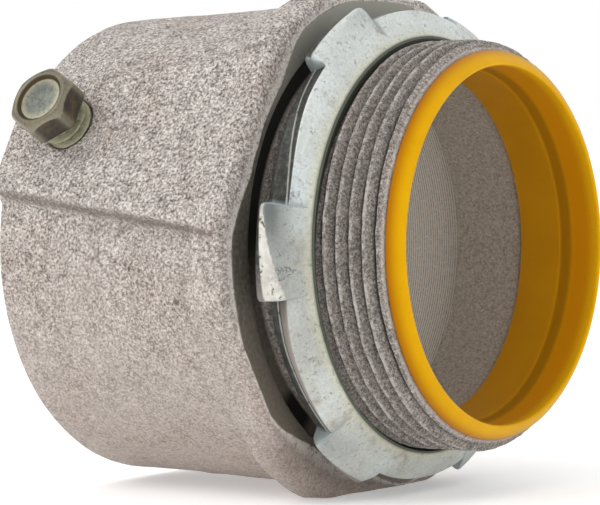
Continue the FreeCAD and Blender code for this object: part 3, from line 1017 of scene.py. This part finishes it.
def zinc_plate(p, fine):
    """Pale blue-white plating, with painted shade making it duller beside the middle lug, a painted
    lighter and bluer top, and yellow at the bore.
    """
    plate = p.ramp(p.noise(11.0, detail=4.0, rough=0.6), (0.30, (0.47, 0.495, 0.48)),
                   (0.50, (0.58, 0.595, 0.55)), (0.70, (0.69, 0.75, 0.755)))
    # Painted shade at mid height on the -Y side, beside the middle lug.
    mid_height = p.step(p.math("ABSOLUTE", p.axis("Z")), 0.026, 0.006)
    shaded_side = p.times(mid_height, p.step(p.axis("Y"), -0.020, -0.030))
    plate = p.tint(plate, shaded_side, 0.75, (0.70, 0.70, 0.70), "MULTIPLY")
    # Painted light: the top paler and bluer.
    plate = p.tint(plate, p.step(p.axis("Z"), 0.004, 0.024), 0.5, (0.74, 0.79, 0.79))
    plate = p.tint(plate, p.attribute("bore_tint"), 0.55, (0.60, 0.57, 0.40))
    plate = p.tint(plate, p.step(fine, 0.44, 0.32), 0.6, (0.20, 0.20, 0.18))
    grit = p.step(p.noise(0.45, detail=4.0, rough=0.9), 0.57, 0.43)
    plate = p.tint(plate, grit, 0.45, (0.66, 0.66, 0.63), "MULTIPLY")
    stain = p.times(p.step(p.noise(6.5, detail=5.0, rough=0.7), 0.56, 0.66),
                    p.step(fine, 0.35, 0.6))
    return p.tint(plate, stain, 0.65, (0.28, 0.22, 0.15))


def zinc_knee(p):
    """Burnished bend of a lug, with brown scratches."""
    streak = p.step(p.noise(2.4, detail=4.0, rough=0.75, warp=1.2), 0.55, 0.60)
    bright = p.ramp(p.noise(2.4, detail=4.0, rough=0.7), (0.35, (0.50, 0.46, 0.41)),
                    (0.60, (0.66, 0.66, 0.61)))
    return p.tint(bright, streak, 0.9, (0.09, 0.06, 0.03))


def zinc_skirt(p, fine, behind):
    """Back of the stamping painted dark as shade and a dark reflection, and browner and paler on
    its lower side.
    """
    dark = p.ramp(fine, (0.30, (0.022, 0.022, 0.020)), (0.55, (0.062, 0.062, 0.056)),
                  (0.75, (0.19, 0.19, 0.175)))
    low_side = p.times(p.step(behind, 0.2, 0.5), p.step(p.axis("Z"), 0.0, -0.010))
    return p.tint(dark, low_side, 0.85, (0.34, 0.30, 0.27))


def zinc_material():
    """Clear zinc plate: pale blue-white, yellowing at the bore, scuffed and scratched."""
    p = Paint("clear_zinc_plate")
    fine = p.noise(0.9, detail=5.0, rough=0.75)
    plate = zinc_plate(p, fine)
    wander = p.noise(5.0, detail=6.0, rough=0.70, warp=0.4)
    line = p.times(p.vein(wander, 0.010, 0.002), p.step(p.noise(8.0), 0.54, 0.64))
    line = p.times(line, 0.7)
    plate = p.blend(line, plate, (0.12, 0.105, 0.085))
    # Painted shadow of a dent by each lug's flat end, strongest on the middle lug.
    plate = p.tint(plate, p.attribute("dent"), 0.9, (0.12, 0.135, 0.135))
    worn = p.attribute("burnish")
    plate = p.blend(worn, plate, zinc_knee(p))
    plate = p.blend(p.attribute("bore_edge"), plate, (0.085, 0.095, 0.07))
    behind = p.attribute("behind")
    # Painted shade and dark reflection on the skirt and in the threaded bore.
    plate = p.blend(p.attribute("skirt"), plate, zinc_skirt(p, fine, behind))
    plate = p.tint(plate, p.attribute("cut"), 0.8, (0.30, 0.35, 0.35))
    # Painted highlight: a pale line along the skirt's fold.
    fold = p.times(p.step(p.math("ABSOLUTE", behind), 0.20, 0.10), p.step(fine, 0.30, 0.45))
    plate = p.tint(plate, fold, 0.8, (0.40, 0.40, 0.37))
    rough = p.plus(0.36, p.times(fine, 0.30))
    height = p.plus(p.times(fine, 0.7), p.times(line, -0.6))
    metal = p.math("SUBTRACT", 0.60, p.times(worn, 0.3))
    return p.finish(plate, rough, p.bump(height, 0.10), metal)


def dichromate_material():
    """Yellow dichromate on steel: olive and brown facets, a pale disc with some wear, painted
    highlights on the corners, rim and disc edge, and painted shade round the disc.
    """
    p = Paint("yellow_dichromate")
    cloud = p.noise(2.6, detail=4.0, rough=0.65)
    fine = p.noise(0.45, detail=4.0, rough=0.7)
    coat = p.ramp(cloud, (0.30, (0.040, 0.038, 0.030)), (0.50, (0.075, 0.066, 0.052)),
                  (0.62, (0.12, 0.088, 0.050)), (0.75, (0.19, 0.165, 0.11)))
    disc = p.ramp(p.plus(p.times(cloud, 0.6), p.times(fine, 0.4)),
                  (0.35, (0.085, 0.095, 0.085)), (0.50, (0.145, 0.155, 0.135)),
                  (0.65, (0.23, 0.24, 0.20)))
    coat = p.blend(p.attribute("disc"), coat, disc)
    # Painted highlight with some rub: pale corners, rim and ring round the disc.
    coat = p.blend(p.attribute("rubbed"), coat, (0.36, 0.335, 0.24))
    coat = p.blend(p.attribute("shank"), coat, (0.30, 0.29, 0.19))
    # Painted shade on the dish's inner wall.
    coat = p.tint(coat, p.attribute("seam"), 0.85, (0.055, 0.032, 0.012))
    coat = p.tint(coat, p.step(fine, 0.45, 0.32), 0.6, (0.035, 0.030, 0.022))
    rough = p.plus(0.30, p.times(fine, 0.25))
    return p.finish(coat, rough, p.bump(fine, 0.06), 0.7)


def floor_material():
    p = Paint("studio_white", specular=0.1)
    tone = p.ramp(p.noise(400.0), (0.3, (0.86, 0.86, 0.86)), (0.7, (0.88, 0.88, 0.88)))
    p.shader.inputs["Emission Color"].default_value = (1.0, 1.0, 1.0, 1.0)
    p.shader.inputs["Emission Strength"].default_value = FLOOR_GLOW
    return p.finish(tone, 0.9)


# ---------------------------------------------------------------- assembly

def place(piece, body, node, material, sharp):
    """Hand one piece to its body; edges sharper than the given degrees stay crisp."""
    piece.data.set_sharp_from_angle(angle=math.radians(sharp))
    piece.data.materials.clear()
    piece.data.materials.append(material)
    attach(piece, body)
    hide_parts(node)


# ---------------------------------------------------------------- stage, light and camera
# Places here are in metres, apart from the camera's, which are in millimetres.

FLOOR_REACH = 6.0
WORLD_LIGHT = 1.0
LAMP_SIZE = 0.6
KEY_PLACE = (-0.35, -0.75, 0.75)
KEY_AIM = (-0.01, 0, 0)
KEY_POWER = 3.5
FILL_PLACE = (0.75, -0.55, 0.25)
FILL_AIM = (0, 0, 0)
FILL_POWER = 0.5
CAMERA_LENS = 173.15
CAMERA_PLACE = (243.36, -352.38, 15.65)
CAMERA_TARGET = (-14.98, -0.08, -1.27)
CAMERA_ROLL = math.radians(1.167)


def studio():
    """Plain pale floor under the flange, and an even white world."""
    floor_mesh = bpy.data.meshes.new("studio_floor")
    z = CAST_LOW.z * MM
    floor_mesh.from_pydata([(-FLOOR_REACH, -FLOOR_REACH, z), (FLOOR_REACH, -FLOOR_REACH, z),
                            (FLOOR_REACH, FLOOR_REACH, z), (-FLOOR_REACH, FLOOR_REACH, z)],
                           [], [(0, 1, 2, 3)])
    floor = bpy.data.objects.new("studio_floor", floor_mesh)
    bpy.context.collection.objects.link(floor)
    floor_mesh.materials.append(floor_material())
    world = bpy.data.worlds.new("studio_world")
    bpy.context.scene.world = world
    world.use_nodes = True
    background = world.node_tree.nodes["Background"]
    background.inputs["Color"].default_value = (1, 1, 1, 1)
    background.inputs["Strength"].default_value = WORLD_LIGHT


def area_light(name, location, aim, power):
    data = bpy.data.lights.new(name, "AREA")
    data.shape = "DISK"
    data.size = LAMP_SIZE
    data.energy = power
    lamp = bpy.data.objects.new(name, data)
    bpy.context.collection.objects.link(lamp)
    lamp.location = location
    lamp.rotation_euler = (Vector(aim) - Vector(location)).to_track_quat("-Z", "Y").to_euler()


def camera():
    """Long lens level with the nipple's near side, rolled a little."""
    data = bpy.data.cameras.new("camera")
    data.sensor_width = 36.0
    data.lens = CAMERA_LENS
    data.clip_start = 0.01
    cam = bpy.data.objects.new("camera", data)
    bpy.context.collection.objects.link(cam)
    location = Vector(CAMERA_PLACE) * MM
    ahead = (Vector(CAMERA_TARGET) * MM - location).normalized()
    right = ahead.cross(Vector((0, 0, 1))).normalized()
    up = right.cross(ahead)
    top = up * math.cos(CAMERA_ROLL) + right * math.sin(CAMERA_ROLL)
    side = ahead.cross(top)
    turned = Matrix((side, top, -ahead)).transposed().to_4x4()
    cam.matrix_world = Matrix.Translation(location) @ turned
    bpy.context.scene.camera = cam


place(casting(), "fitting", "casting", cast_material(), 55)
place(liner(), "throat_ring", "throat_liner", liner_material(), 60)
place(locknut(), "nut", "locknut", zinc_material(), 38)
place(set_screw(), "screw", "set_screw", dichromate_material(), 40)
studio()
area_light("key", KEY_PLACE, KEY_AIM, KEY_POWER)
area_light("fill", FILL_PLACE, FILL_AIM, FILL_POWER)
camera()
bpy.context.scene.view_settings.view_transform = "Standard"
